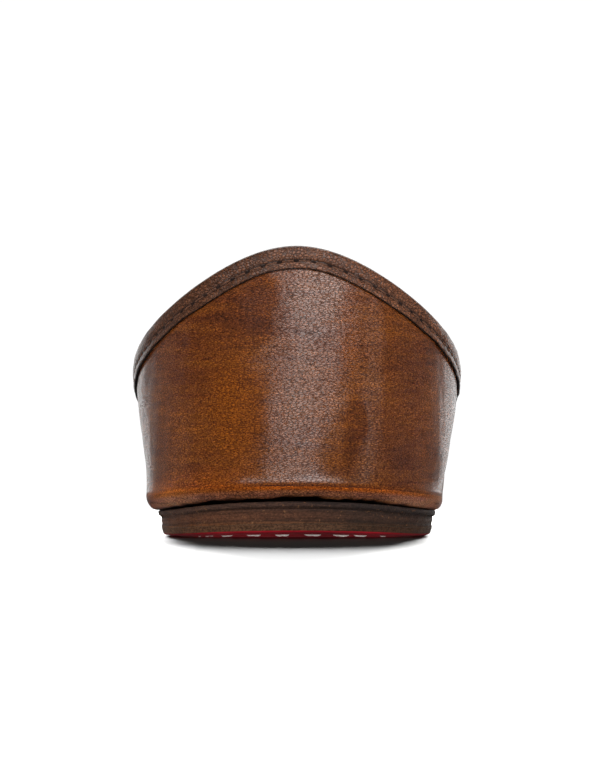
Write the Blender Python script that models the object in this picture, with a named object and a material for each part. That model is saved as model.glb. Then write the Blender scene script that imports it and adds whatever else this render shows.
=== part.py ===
"""Plain leather jutti: a flat, straight-lasted slip-on shoe that stands on its sole, toe along +Y.

Five pieces are put together as a cobbler does it. The upper is one hollow wall, rolled under at the
bottom into a lasting margin. It lies on the midsole, the insole lies on its margin, the outsole closes
the midsole from below, and a folded strip of thin leather binds the collar.
The origin is on the floor, under the middle of the shoe's length and width.
"""

import math

import bpy
import numpy as np

MM = 0.001

# The shoe's main sizes
LENGTH = 280 * MM
BALL_WIDTH = 93 * MM  # over the upper's roll, at its widest
BACK_HEIGHT = 65.1 * MM  # of the upper's own edge, without its binding
WALL = 2.0 * MM  # leather, counter and lining together
GAP = 0.3 * MM  # left between two pieces that lie on each other

# The sole, seen from the side: distances from the back of the heel, and heights
OUTSOLE_THICKNESS = 1.9 * MM
HEEL_THICKNESS = 6.2 * MM  # outsole and midsole together
FOREFOOT_THICKNESS = 5.0 * MM
THINNING_FROM, THINNING_TO = 85 * MM, 165 * MM
HEEL_FLAT_FROM = 28 * MM  # behind this the heel curls up off the floor
HEEL_RISE = 1.5 * MM
HEEL_WEDGE = 1.2 * MM  # the midsole is this much thicker at the very back
HEEL_WEDGE_LENGTH = 42 * MM
ARCH_FROM, ARCH_TO = 82 * MM, 150 * MM
ARCH_RISE = 1.6 * MM
TOE_FLAT_TO = 208 * MM
TOE_SPRING = 10 * MM

# The sole's edge, seen from behind: how far each step lies inside the upper's outline
MIDSOLE_LIP_INSET = 2.2 * MM
MIDSOLE_LIP_FACE = 1.1 * MM  # upright part of the lip, below the top
MIDSOLE_LIP_HEIGHT = 1.6 * MM
MIDSOLE_SIDE_INSET = 2.9 * MM
MIDSOLE_FOOT_INSET = 3.2 * MM
OUTSOLE_TOP_INSET = 3.1 * MM
OUTSOLE_SIDE_INSET = 3.4 * MM
OUTSOLE_ROUND_INSET = 4.3 * MM
OUTSOLE_FLAT_INSET = 10 * MM
EDGE_CURL = 0.4 * MM  # the underside's rim stands this far off the floor
EDGE_ROUND = 0.7 * MM
PLATE_RIM = 6 * MM  # a plate's flat face starts this far inside its edge

# The upper's rolled foot
ROLL_OUT = 2.7 * MM
ROLL_UP = 3.4 * MM
MARGIN = 7 * MM
GROOVE = 0.45 * MM  # shallow hollow above the roll, from which the wall flares out to the roll's edge
GROOVE_HEIGHT = 3.0 * MM
GROOVE_FADE = 7 * MM  # how softly the hollow ends up the wall

# The collar binding and the insole
BINDING_WIDTH = 4.5 * MM  # of each leg, square to the collar's edge
BINDING_GAP = 0.25 * MM  # between the strip and the wall, on both faces and over the edge
BINDING_THICKNESS = 0.55 * MM
BINDING_CROWN = 1.0 * MM  # how far it stands above the upper's own edge
BINDING_SHOULDER = 0.7 * MM  # height at which its crown turns down
BINDING_SHOULDER_INSET = 0.45 * MM
INSOLE_THICKNESS = 2.0 * MM
INSOLE_INSET = 3.7 * MM

# Half of the upper, one row for each rib from the back of the heel round to the tip of the toe.
# along, half: where the rib stands on the outline, in percent of the length and of half the ball width.
# top_along, top_half, top_height: where it ends on the collar, the last in percent of the back's height.
# rise, lean: its tangent at the foot, up and outwards, in mm.
# reach, fall: its tangent at the collar, outwards and down, in mm.
RIB_COLUMNS = ("along", "half", "top_along", "top_half", "top_height", "rise", "lean", "reach", "fall")
ALONG_UNIT, HALF_UNIT, HEIGHT_UNIT = LENGTH / 100, BALL_WIDTH / 200, BACK_HEIGHT / 100
RIB_UNITS = (ALONG_UNIT, HALF_UNIT, ALONG_UNIT, HALF_UNIT, HEIGHT_UNIT, MM, MM, MM, MM)
RIBS = (
    (0.0, 0.0, 0.7, 0.0, 100.0, 18.0, 0.4, 1.2, 18.0),
    (1.8, 41.3, 2.3, 43.3, 89.6, 16.0, 0.6, 0.7, 16.0),
    (7.0, 68.0, 7.0, 70.5, 76.2, 13.5, 1.0, -0.3, 13.5),
    (15.0, 77.8, 15.3, 84.3, 67.0, 11.0, 1.2, 0.2, 11.0),
    (26.8, 77.4, 26.8, 89.0, 60.0, 9.0, 1.6, 0.8, 9.0),
    (38.6, 79.6, 37.1, 87.5, 57.5, 9.0, 2.0, 1.0, 9.0),
    (50.4, 89.2, 45.7, 83.5, 60.5, 12.0, 2.4, 2.8, 9.0),
    (64.3, 100.0, 52.1, 69.9, 66.8, 17.0, 3.0, 10.0, 6.0),
    (76.4, 93.8, 56.3, 50.5, 74.5, 18.0, 2.6, 20.0, 7.0),
    (86.8, 75.3, 58.2, 33.3, 79.5, 18.0, 1.8, 33.0, 11.0),
    (93.9, 50.8, 59.1, 19.8, 82.3, 18.0, 1.2, 46.0, 15.0),
    (98.4, 24.5, 59.6, 9.0, 83.9, 18.0, 0.8, 56.0, 19.0),
    (100.0, 0.0, 59.7, 0.0, 84.3, 18.0, 0.6, 60.0, 20.5),
)
SAMPLES_PER_RIB = 4
ROLL_STEPS = 3
SHARP_ANGLE = math.radians(40)
WALL_STEPS = (0.0, 0.07, 0.15, 0.26, 0.4, 0.55, 0.7, 0.85)  # shares of the wall below the binding

# Colours (linear), roughness
LEATHER_BROWN = ((0.150, 0.050, 0.014), 0.38)
BINDING_BROWN = ((0.090, 0.040, 0.022), 0.55)
SOLE_BROWN = ((0.060, 0.028, 0.016), 0.60)
SOLE_RED = ((0.180, 0.008, 0.014), 0.50)
INSOLE_TAN = ((0.300, 0.150, 0.070), 0.60)


class ClosedSpline:
    """Smooth closed curves through rows of values, with one knot for each row."""

    def __init__(self, knots, rows, period):
        self.knots, self.rows, self.period = knots, rows, period
        count = len(knots)
        steps = np.diff(np.append(knots, knots[0] + period))
        slopes = (np.roll(rows, -1, axis=0) - rows) / steps[:, None]
        system = np.zeros((count, count))
        for i in range(count):
            system[i, i - 1] += steps[i - 1]
            system[i, i] += 2 * (steps[i - 1] + steps[i])
            system[i, (i + 1) % count] += steps[i]
        self.bends = np.linalg.solve(system, 6 * (slopes - np.roll(slopes, 1, axis=0)))
        self.steps = steps

    def at(self, where):
        where = np.mod(where, self.period)
        i = np.clip(np.searchsorted(self.knots, where, side="right") - 1, 0, len(self.knots) - 1)
        j = (i + 1) % len(self.knots)
        step = self.steps[i]
        far = ((where - self.knots[i]) / step)[..., None]
        near = 1 - far
        bend = (near**3 - near) * self.bends[i] + (far**3 - far) * self.bends[j]
        return near * self.rows[i] + far * self.rows[j] + bend * (step**2 / 6)[..., None]


def rib_ring():
    """The spline of all rib columns round the whole shoe, and its knots."""
    right = np.array(RIBS) * RIB_UNITS
    left = right[-2:0:-1].copy()
    for column in ("half", "top_half"):
        left[:, RIB_COLUMNS.index(column)] *= -1
    rows = np.concatenate([right, left])
    chords = np.linalg.norm(np.roll(rows[:, :2], -1, axis=0) - rows[:, :2], axis=1)
    knots = np.concatenate([[0.0], np.cumsum(chords)[:-1]])
    return ClosedSpline(knots, rows, chords.sum())


RING = rib_ring()


def ring_samples():
    """Places round the shoe, SAMPLES_PER_RIB for each rib, from the back. Both sides have the same ones."""
    ends = np.append(RING.knots, RING.period)
    parts = np.arange(SAMPLES_PER_RIB) / SAMPLES_PER_RIB
    return (ends[:-1, None] + np.diff(ends)[:, None] * parts).ravel()


def smooth_step(share):
    share = np.clip(share, 0, 1)
    return share * share * (3 - 2 * share)


def sole_bottom(y):
    """Height of the outsole's underside: flat at heel and forefoot, up at the back, arch and toe."""
    along = y + LENGTH / 2
    heel = HEEL_RISE * np.clip(1 - along / HEEL_FLAT_FROM, 0, 1) ** 2
    arch_share = np.clip((along - ARCH_FROM) / (ARCH_TO - ARCH_FROM), 0, 1)
    arch = ARCH_RISE * np.where((arch_share > 0) & (arch_share < 1), np.sin(math.pi * arch_share) ** 2, 0)
    toe = TOE_SPRING * np.clip((along - TOE_FLAT_TO) / (LENGTH - TOE_FLAT_TO), 0, 1) ** 2
    return heel + arch + toe


def sole_top(y):
    """Height of the midsole's upper face, on which the upper is lasted."""
    along = y + LENGTH / 2
    thinning = smooth_step((along - THINNING_FROM) / (THINNING_TO - THINNING_FROM))
    thickness = HEEL_THICKNESS + (FOREFOOT_THICKNESS - HEEL_THICKNESS) * thinning
    wedge = HEEL_WEDGE * np.clip(1 - along / HEEL_WEDGE_LENGTH, 0, 1) ** 2
    return sole_bottom(y) + thickness + wedge


def outline(u):
    """Plan points of the upper's outline and the outward directions there."""
    step = 1e-5
    plan = RING.at(u)[..., :2]
    along = RING.at(u + step)[..., :2] - RING.at(u - step)[..., :2]
    # The columns are (distance from the back, half width), which is (y, x).
    out = np.stack([along[..., 0], -along[..., 1]], axis=-1)
    out /= np.linalg.norm(out, axis=-1, keepdims=True)
    return np.stack([plan[..., 1], plan[..., 0] - LENGTH / 2], axis=-1), out


def inset_ring(u, inset, height):
    """A ring inside the outline, at the height that a function of y gives."""
    plan, out = outline(u)
    plan = plan - out * inset
    return np.column_stack([plan, height(plan[:, 1])])


def upper_face(u, v):
    """The upper's outer face. u runs round the shoe. v runs up it: -2 to -1 is the lasting margin under
    the foot, -1 to 0 the roll at the sole's edge, and 0 to 1 the wall up to the collar."""
    plan, out = outline(u)
    row = dict(zip(RIB_COLUMNS, np.moveaxis(RING.at(u), -1, 0)))
    margin = np.clip(-1 - v, 0, 1) * MARGIN
    foot = plan - out * (ROLL_OUT + margin)[..., None]
    turn = np.clip(v + 1, 0, 1) * math.pi / 2
    low = np.concatenate(
        [
            foot + out * (ROLL_OUT * np.sin(turn))[..., None],
            (sole_top(foot[..., 1]) + GAP + ROLL_UP * (1 - np.cos(turn)))[..., None],
        ],
        axis=-1,
    )
    t = np.clip(v, 0, 1)[..., None]
    flat_out = np.concatenate([out, np.zeros_like(out[..., :1])], axis=-1)
    up = np.array([0.0, 0.0, 1.0])
    collar = np.stack([row["top_half"], row["top_along"] - LENGTH / 2, row["top_height"]], axis=-1)
    from_foot = low + flat_out * row["lean"][..., None] + up * row["rise"][..., None]
    to_collar = collar + flat_out * row["reach"][..., None] - up * row["fall"][..., None]
    wall = (1 - t) ** 3 * low + 3 * t * (1 - t) ** 2 * from_foot
    wall = wall + 3 * t**2 * (1 - t) * to_collar + t**3 * collar
    above_roll = (wall - low)[..., 2]
    from_middle = above_roll - GROOVE_HEIGHT
    flare = 1 - (from_middle / GROOVE_HEIGHT) ** 2
    fade = np.exp(-((from_middle / GROOVE_FADE) ** 2))
    hollow = GROOVE * np.where(from_middle < 0, flare, fade)
    return wall - flat_out * hollow[..., None]


def upper_normal(u, v):
    """Outward normals of the upper's outer face."""
    step_u, step_v = 1e-4, 1e-3
    low, high = np.maximum(v - step_v, -2), np.minimum(v + step_v, 1)
    round_shoe = upper_face(u + step_u, v) - upper_face(u - step_u, v)
    up_wall = upper_face(u, high) - upper_face(u, low)
    normal = np.cross(round_shoe, up_wall)
    return normal / np.linalg.norm(normal, axis=-1, keepdims=True)


def collar_run(u):
    """How the wall runs at the collar's edge, for each unit of v, and how much of it is square to the edge."""
    top = np.ones_like(u)
    step_u, step_v = 1e-4, 1e-3
    run = (upper_face(u, top) - upper_face(u, top - step_v)) / step_v
    edge = upper_face(u + step_u, top) - upper_face(u - step_u, top)
    edge /= np.linalg.norm(edge, axis=-1, keepdims=True)
    return run, np.linalg.norm(np.cross(run, edge), axis=-1)


def below_collar(u, below):
    """v at a distance below the collar's edge, measured down the wall and square to the edge."""
    _, square = collar_run(u)
    return 1 - below / square


def collar_points(u, below, outside):
    """Points at a distance below the collar's edge and outside the outer face."""
    v = below_collar(u, max(below, 0))
    run, square = collar_run(u)
    over = run / square[:, None] * max(-below, 0)
    return upper_face(u, v) + upper_normal(u, v) * outside + over


def make_object(name, points, faces, finish):
    """One named piece with its own material."""
    mesh = bpy.data.meshes.new(name)
    mesh.from_pydata([tuple(p) for p in points], [], faces)
    mesh.validate()
    piece = bpy.data.objects.new(name, mesh)
    bpy.context.scene.collection.objects.link(piece)
    colour, roughness = finish
    material = bpy.data.materials.new(name)
    material.use_nodes = True
    shader = material.node_tree.nodes["Principled BSDF"]
    shader.inputs["Base Color"].default_value = (*colour, 1.0)
    shader.inputs["Roughness"].default_value = roughness
    shader.inputs["Metallic"].default_value = 0.0
    mesh.materials.append(material)
    mesh.shade_smooth()
    mesh.set_sharp_from_angle(angle=SHARP_ANGLE)
    return piece


def bridge(rings, closed):
    """Quads between neighbouring rings of equal length, and back to the first one where closed."""
    count = len(rings[0])
    last = len(rings) if closed else len(rings) - 1
    faces = []
    for r in range(last):
        here, there = r * count, (r + 1) % len(rings) * count
        for i in range(count):
            j = (i + 1) % count
            faces.append((here + i, here + j, there + j, there + i))
    return faces


def ladder(first, count):
    """Faces across a mirrored ring, from its right half to its left, as a flat sole is closed."""
    faces = [(first, first + 1, first + count - 1)]
    half = count // 2
    for i in range(1, half - 1):
        faces.append((first + i, first + i + 1, first + count - i - 1, first + count - i))
    faces.append((first + half - 1, first + half, first + half + 1))
    return faces


def make_plate(name, rings, finish):
    """A sole layer from rings that run from its top face, over its edge, to its underside."""
    count = len(rings[0])
    top = ladder(0, count)
    bottom = [face[::-1] for face in ladder((len(rings) - 1) * count, count)]
    sides = [face[::-1] for face in bridge(rings, closed=False)]
    return make_object(name, np.concatenate(rings), top + sides + bottom, finish)


def make_upper(u):
    """The wall, with its outer and inner face joined at the collar and at the margin's inner edge."""
    roll = np.arange(ROLL_STEPS) / ROLL_STEPS - 1
    places = [np.full_like(u, v) for v in (-2.0, *roll)]
    places += [share * below_collar(u, BINDING_WIDTH) for share in WALL_STEPS]
    places += [below_collar(u, BINDING_WIDTH * share) for share in (1, 0.5, 0)]
    outer = []
    inner = []
    for v in places:
        face = upper_face(u, v)
        outer.append(face)
        inner.append(face - upper_normal(u, v) * WALL)
    rings = outer + inner[::-1]
    return make_object("upper", np.concatenate(rings), bridge(rings, closed=True), LEATHER_BROWN)


def make_binding(u):
    """A folded strip over the collar: an outer leg, a rounded crown and an inner leg, clear of the wall."""
    near, far = BINDING_GAP, BINDING_GAP + BINDING_THICKNESS
    inside = -WALL
    profile = (
        (BINDING_WIDTH, near),
        (BINDING_WIDTH, far),
        (BINDING_WIDTH / 2, far),
        (0.0, far),
        (-BINDING_SHOULDER, far - BINDING_SHOULDER_INSET),
        (-BINDING_CROWN, inside / 2),
        (-BINDING_SHOULDER, inside - far + BINDING_SHOULDER_INSET),
        (0.0, inside - far),
        (BINDING_WIDTH / 2, inside - far),
        (BINDING_WIDTH, inside - far),
        (BINDING_WIDTH, inside - near),
        (BINDING_WIDTH / 2, inside - near),
        (-BINDING_GAP, inside - near),
        (-BINDING_GAP, near),
        (BINDING_WIDTH / 2, near),
    )
    rings = [collar_points(u, below, outside) for below, outside in profile]
    return make_object("collar_binding", np.concatenate(rings), bridge(rings, closed=True), BINDING_BROWN)


def make_midsole(u):
    """The thick leather layer, with a lip along the top of its edge."""

    def below_top(drop):
        return lambda y: sole_top(y) - drop

    def foot(y):
        return sole_bottom(y) + OUTSOLE_THICKNESS + GAP

    rings = [
        inset_ring(u, MIDSOLE_LIP_INSET + PLATE_RIM, sole_top),
        inset_ring(u, MIDSOLE_LIP_INSET, sole_top),
        inset_ring(u, MIDSOLE_LIP_INSET, below_top(MIDSOLE_LIP_FACE)),
        inset_ring(u, MIDSOLE_SIDE_INSET, below_top(MIDSOLE_LIP_HEIGHT)),
        inset_ring(u, MIDSOLE_FOOT_INSET, foot),
        inset_ring(u, MIDSOLE_FOOT_INSET + PLATE_RIM, foot),
    ]
    return make_plate("midsole", rings, SOLE_BROWN)


def make_outsole(u):
    """The thin bottom layer: flat under heel and forefoot, with its rim curled up and rounded."""

    def top(y):
        return sole_bottom(y) + OUTSOLE_THICKNESS

    def above_bottom(lift):
        return lambda y: sole_bottom(y) + lift

    rings = [
        inset_ring(u, OUTSOLE_TOP_INSET + PLATE_RIM, top),
        inset_ring(u, OUTSOLE_TOP_INSET, top),
        inset_ring(u, OUTSOLE_SIDE_INSET, above_bottom(EDGE_CURL + EDGE_ROUND)),
        inset_ring(u, OUTSOLE_ROUND_INSET, above_bottom(EDGE_CURL)),
        inset_ring(u, OUTSOLE_FLAT_INSET, sole_bottom),
    ]
    return make_plate("outsole", rings, SOLE_RED)


def make_insole(u):
    """The footbed, lying on the upper's lasting margin."""

    def bottom(y):
        return sole_top(y) + GAP + WALL + GAP

    def top(y):
        return bottom(y) + INSOLE_THICKNESS

    rings = [
        inset_ring(u, INSOLE_INSET + PLATE_RIM, top),
        inset_ring(u, INSOLE_INSET, top),
        inset_ring(u, INSOLE_INSET, bottom),
        inset_ring(u, INSOLE_INSET + PLATE_RIM, bottom),
    ]
    return make_plate("insole", rings, INSOLE_TAN)


def main():
    for old in list(bpy.data.objects):
        bpy.data.objects.remove(old)
    u = ring_samples()
    shoe = bpy.data.objects.new("jutti", None)
    bpy.context.scene.collection.objects.link(shoe)
    for make in (make_outsole, make_midsole, make_insole, make_upper, make_binding):
        make(u).parent = shoe


main()
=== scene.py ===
"""Looks of the leather jutti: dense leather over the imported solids, stitches, floor, light and camera.

The surfaces come from the same rib table as the solids, so each piece lies where its solid does.
Sizes are in metres, the toe points along +Y and the floor is at z = 0.
"""

import math

import bpy
import numpy as np
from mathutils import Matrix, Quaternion, Vector


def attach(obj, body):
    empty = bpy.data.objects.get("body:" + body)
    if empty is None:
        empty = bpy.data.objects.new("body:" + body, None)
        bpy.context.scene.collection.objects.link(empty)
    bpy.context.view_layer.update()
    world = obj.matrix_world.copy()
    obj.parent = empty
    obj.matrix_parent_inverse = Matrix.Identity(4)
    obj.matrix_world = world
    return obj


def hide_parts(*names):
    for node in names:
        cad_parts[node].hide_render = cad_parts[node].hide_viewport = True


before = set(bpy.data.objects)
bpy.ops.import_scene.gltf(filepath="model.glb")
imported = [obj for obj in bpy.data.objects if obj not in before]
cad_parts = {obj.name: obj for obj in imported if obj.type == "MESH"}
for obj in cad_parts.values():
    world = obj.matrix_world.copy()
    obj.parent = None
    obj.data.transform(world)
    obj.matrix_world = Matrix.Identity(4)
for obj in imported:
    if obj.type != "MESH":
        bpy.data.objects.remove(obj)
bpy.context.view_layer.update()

MM = 0.001

# The shoe's form, as in its solids
LENGTH = 280 * MM
BALL_WIDTH = 93 * MM
BACK_HEIGHT = 65.1 * MM
WALL = 2.0 * MM
GAP = 0.3 * MM
OUTSOLE_THICKNESS = 1.9 * MM
HEEL_THICKNESS = 6.2 * MM
FOREFOOT_THICKNESS = 5.0 * MM
THINNING_FROM, THINNING_TO = 85 * MM, 165 * MM
HEEL_FLAT_FROM = 28 * MM
HEEL_RISE = 1.5 * MM
HEEL_WEDGE = 1.2 * MM
HEEL_WEDGE_LENGTH = 42 * MM
ARCH_FROM, ARCH_TO = 82 * MM, 150 * MM
ARCH_RISE = 1.6 * MM
TOE_FLAT_TO = 208 * MM
TOE_SPRING = 10 * MM
MIDSOLE_LIP_INSET = 2.2 * MM
MIDSOLE_LIP_FACE = 1.1 * MM
MIDSOLE_LIP_HEIGHT = 1.6 * MM
MIDSOLE_SIDE_INSET = 2.9 * MM
MIDSOLE_FOOT_INSET = 3.2 * MM
OUTSOLE_TOP_INSET = 3.1 * MM
OUTSOLE_SIDE_INSET = 3.4 * MM
OUTSOLE_ROUND_INSET = 4.3 * MM
OUTSOLE_FLAT_INSET = 10 * MM
EDGE_CURL = 0.4 * MM
EDGE_ROUND = 0.7 * MM
PLATE_RIM = 6 * MM
ROLL_OUT = 2.7 * MM
ROLL_UP = 3.4 * MM
MARGIN = 7 * MM
GROOVE = 0.45 * MM
GROOVE_HEIGHT = 3.0 * MM
GROOVE_FADE = 7 * MM
GROOVE_AT_SIDES = 0.5  # the share of its depth that it keeps away from the back
BINDING_WIDTH = 4.5 * MM
BINDING_GAP = 0.25 * MM
BINDING_THICKNESS = 0.55 * MM
BINDING_CROWN = 1.0 * MM
INSOLE_THICKNESS = 2.0 * MM
INSOLE_INSET = 3.7 * MM

# Half of the upper, one row for each rib from the back of the heel round to the tip of the toe.
# along, half: where the rib stands on the outline, in percent of the length and of half the ball width.
# top_along, top_half, top_height: where it ends on the collar, the last in percent of the back's height.
# rise, lean: its tangent at the foot, up and outwards, in mm.
# reach, fall: its tangent at the collar, outwards and down, in mm.
RIB_COLUMNS = ("along", "half", "top_along", "top_half", "top_height", "rise", "lean", "reach", "fall")
ALONG_UNIT, HALF_UNIT, HEIGHT_UNIT = LENGTH / 100, BALL_WIDTH / 200, BACK_HEIGHT / 100
RIB_UNITS = (ALONG_UNIT, HALF_UNIT, ALONG_UNIT, HALF_UNIT, HEIGHT_UNIT, MM, MM, MM, MM)
RIBS = (
    (0.0, 0.0, 0.7, 0.0, 100.0, 18.0, 0.4, 1.2, 18.0),
    (1.8, 41.3, 2.3, 43.3, 89.6, 16.0, 0.6, 0.7, 16.0),
    (7.0, 68.0, 7.0, 70.5, 76.2, 13.5, 1.0, -0.3, 13.5),
    (15.0, 77.8, 15.3, 84.3, 67.0, 11.0, 1.2, 0.2, 11.0),
    (26.8, 77.4, 26.8, 89.0, 60.0, 9.0, 1.6, 0.8, 9.0),
    (38.6, 79.6, 37.1, 87.5, 57.5, 9.0, 2.0, 1.0, 9.0),
    (50.4, 89.2, 45.7, 83.5, 60.5, 12.0, 2.4, 2.8, 9.0),
    (64.3, 100.0, 52.1, 69.9, 66.8, 17.0, 3.0, 10.0, 6.0),
    (76.4, 93.8, 56.3, 50.5, 74.5, 18.0, 2.6, 20.0, 7.0),
    (86.8, 75.3, 58.2, 33.3, 79.5, 18.0, 1.8, 33.0, 11.0),
    (93.9, 50.8, 59.1, 19.8, 82.3, 18.0, 1.2, 46.0, 15.0),
    (98.4, 24.5, 59.6, 9.0, 83.9, 18.0, 0.8, 56.0, 19.0),
    (100.0, 0.0, 59.7, 0.0, 84.3, 18.0, 0.6, 60.0, 20.5),
)

# How finely each piece is made: places round the shoe, and rows up its form
UPPER_AROUND, LINING_AROUND, BINDING_AROUND, SOLE_AROUND = 760, 420, 900, 640
ROLL_ROWS, FOOT_ROWS, WALL_ROWS, LINING_ROWS = 14, 34, 46, 40
FOOT_SHARE = 0.2  # of the wall, made finer for the groove above the roll

# The upper's leather and its unevenness
OUTER_LEATHER = 1.2 * MM
LINING_GAP = 0.05 * MM
BROAD_DENT = 0.11 * MM
SMALL_DENT = 0.03 * MM
RELIEF_FADE_TOP, RELIEF_FADE_FOOT = 0.06, 0.05  # shares of the wall over which the relief ends
RELIEF_AT_FOOT = 0.6  # how far the lower fade has come at the wall's foot
ROLL_LIFT = 1.2 * MM  # how far the roll's edge stands off the sole in places
EDGE_LEVEL, EDGE_WAVE, EDGE_TEAR = 0.72, 0.14, 0.3  # the shares of it that are even, wavy and torn
EDGE_LEAST, EDGE_MOST = 0.08, 1.1
ROLL_SHIFT = 0.7 * MM  # the heel's roll lies a little to the left
SHIFT_UP_TO = 0.3  # of the wall's height
SHIFT_BEHIND, SHIFT_FADE = -40 * MM, 60 * MM  # behind this y
FLOW_HEIGHT = 55 * MM  # the wall's height in the leather's own directions
LEVEL_FLOW_TO, LEVEL_FLOW_FADE = -20 * MM, 60 * MM  # behind this y its streaks run level
SEAM_ALONG = 0.43  # the side seams' foot, as a share of the length
SEAM_LAP = 0.45 * MM
SEAM_STEP = 0.35 * MM
SEAM_FADE = 9 * MM
SEAM_STITCH_IN = 1.6 * MM
SEAM_STITCH_FROM = 0.02  # of the wall's height
SEAM_STITCH_STOP = 1.5 * MM  # below the binding

# Soft folds across the vamp, where it bends: place from the back, bow towards the toe, depth, half width
FOLD_COLUMNS = ("along", "bow", "depth", "spread")
FOLDS = (
    (179.0, 8.0, 0.16, 4.2),
    (195.0, 10.0, 0.20, 4.8),
)
FOLD_FROM, FOLD_FADE = 22 * MM, 12 * MM  # the height at which the folds begin, and reach their depth
RIDGE_SHARE, RIDGE_AHEAD = 0.5, 1.9  # the ridge in front of a fold, in shares of its depth and half width

PASTED = 0.04 * MM  # left between the outsole and the midsole, which are pasted together

# The binding's relief
BINDING_PUFF = 0.2 * MM  # it is this much fuller above its stitches
BINDING_STITCH_BELOW = 2.7 * MM  # below the upper's own edge
PUFF_BELOW, PUFF_SPREAD = BINDING_STITCH_BELOW / 2.6, 1.1 * MM
PULL, PULL_BEAT = 0.22, 0.08  # mm that the stitches pull it in, and how much more at each
PULL_SPREAD = 0.5 * MM
BINDING_WANDER = 0.12 * MM
BINDING_DENT = 0.04 * MM
BINDING_THIN = 0.22 * MM  # its edges are thinner by this
LEG_ROWS, CROWN_ROWS = 18, 15
HAIR = 0.01 * MM  # less than this is no distance
STITCH_BED = 0.2 * MM  # the stitches lie this deep in it

# The sole's seam
SOLE_STITCH_INSET = 8.6 * MM
SOLE_CHANNEL = 0.4 * MM
CHANNEL_SPREAD = 0.8 * MM
SOLE_THREAD_OUT = 0.15 * MM  # of its channel
SOLE_THREAD_CLEAR = 0.05 * MM  # of the floor
SOLE_STRANDS, SOLE_UNEVEN = 3, 0.8

# Seams: the distance between stitch holes, the thread's radius, the share of the distance that shows,
# and how far the thread stands out and goes in
BINDING_SEAM = {"pitch": 3.8 * MM, "radius": 0.19 * MM, "cover": 0.78, "rise": 0.06 * MM, "sink": 0.3 * MM}
SOLE_SEAM = {"pitch": 6.3 * MM, "radius": 0.24 * MM, "cover": 0.6, "rise": 0.0, "sink": 0.9 * MM}
SIDE_SEAM = {"pitch": 2.6 * MM, "radius": 0.2 * MM, "cover": 0.8, "rise": 0.08 * MM, "sink": 0.3 * MM}
STITCH_ROWS, STITCH_SIDES = 9, 8
STRAND_TWIST, STRAND_SPREAD = 1.6, 0.95
UNEVEN_REACH, UNEVEN_SHIFT = 0.4, 0.25
HOLE_LENGTH, HOLE_WIDTH, HOLE_SIDES = 1.4 * MM, 0.68 * MM, 10
HOLE_BANDS = ((0.6, 0.05), (1.0, 0.0), (0.6, -0.15))  # share of its size, and height in mm
LINE_POINTS = 1600

# The soles' cut edges
OUTSOLE_ROUGH, MIDSOLE_ROUGH = 0.05 * MM, 0.06 * MM
LAYER_DEPTH, LAYERS = 0.04 * MM, 4
RIM_ROUND, RIM_ROUND_SHARE = 0.25 * MM, 0.03  # at the midsole's top
INSOLE_ROUND = 0.6 * MM
OUTSOLE_ROWS, MIDSOLE_ROWS = 6, 30
UNDERSIDE_INSETS = np.append(np.linspace(5, 12, 22), [14.0, 18.0]) * MM  # finer near the channel
SHARP_ANGLE = math.radians(50)

# Camera, from the photograph: behind the heel, just above the floor
FRAME_HEIGHT = 767
FOCAL_PIXELS = 1798
CAMERA_BACK = 400 * MM
CAMERA_HEIGHT = 10 * MM
CAMERA_RIGHT = 0.78 * MM
CAMERA_PITCH = math.radians(3.54)
SENSOR = 36.0


class ClosedSpline:
    """Smooth closed curves through rows of values, with one knot for each row."""

    def __init__(self, knots, rows, period):
        self.knots, self.rows, self.period = knots, rows, period
        count = len(knots)
        steps = np.diff(np.append(knots, knots[0] + period))
        slopes = (np.roll(rows, -1, axis=0) - rows) / steps[:, None]
        system = np.zeros((count, count))
        for i in range(count):
            system[i, i - 1] += steps[i - 1]
            system[i, i] += 2 * (steps[i - 1] + steps[i])
            system[i, (i + 1) % count] += steps[i]
        self.bends = np.linalg.solve(system, 6 * (slopes - np.roll(slopes, 1, axis=0)))
        self.steps = steps

    def at(self, where):
        where = np.mod(where, self.period)
        i = np.clip(np.searchsorted(self.knots, where, side="right") - 1, 0, len(self.knots) - 1)
        j = (i + 1) % len(self.knots)
        step = self.steps[i]
        far = ((where - self.knots[i]) / step)[..., None]
        near = 1 - far
        bend = (near**3 - near) * self.bends[i] + (far**3 - far) * self.bends[j]
        return near * self.rows[i] + far * self.rows[j] + bend * (step**2 / 6)[..., None]


def rib_ring():
    """The spline of all rib columns round the whole shoe."""
    right = np.array(RIBS) * RIB_UNITS
    left = right[-2:0:-1].copy()
    for column in ("half", "top_half"):
        left[:, RIB_COLUMNS.index(column)] *= -1
    rows = np.concatenate([right, left])
    chords = np.linalg.norm(np.roll(rows[:, :2], -1, axis=0) - rows[:, :2], axis=1)
    knots = np.concatenate([[0.0], np.cumsum(chords)[:-1]])
    return ClosedSpline(knots, rows, chords.sum())


RING = rib_ring()


def smooth_step(share):
    share = np.clip(share, 0, 1)
    return share * share * (3 - 2 * share)


def sole_bottom(y):
    """Height of the outsole's underside: flat at heel and forefoot, up at the back, arch and toe."""
    along = y + LENGTH / 2
    heel = HEEL_RISE * np.clip(1 - along / HEEL_FLAT_FROM, 0, 1) ** 2
    arch_share = np.clip((along - ARCH_FROM) / (ARCH_TO - ARCH_FROM), 0, 1)
    arch = ARCH_RISE * np.where((arch_share > 0) & (arch_share < 1), np.sin(math.pi * arch_share) ** 2, 0)
    toe = TOE_SPRING * np.clip((along - TOE_FLAT_TO) / (LENGTH - TOE_FLAT_TO), 0, 1) ** 2
    return heel + arch + toe


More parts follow.
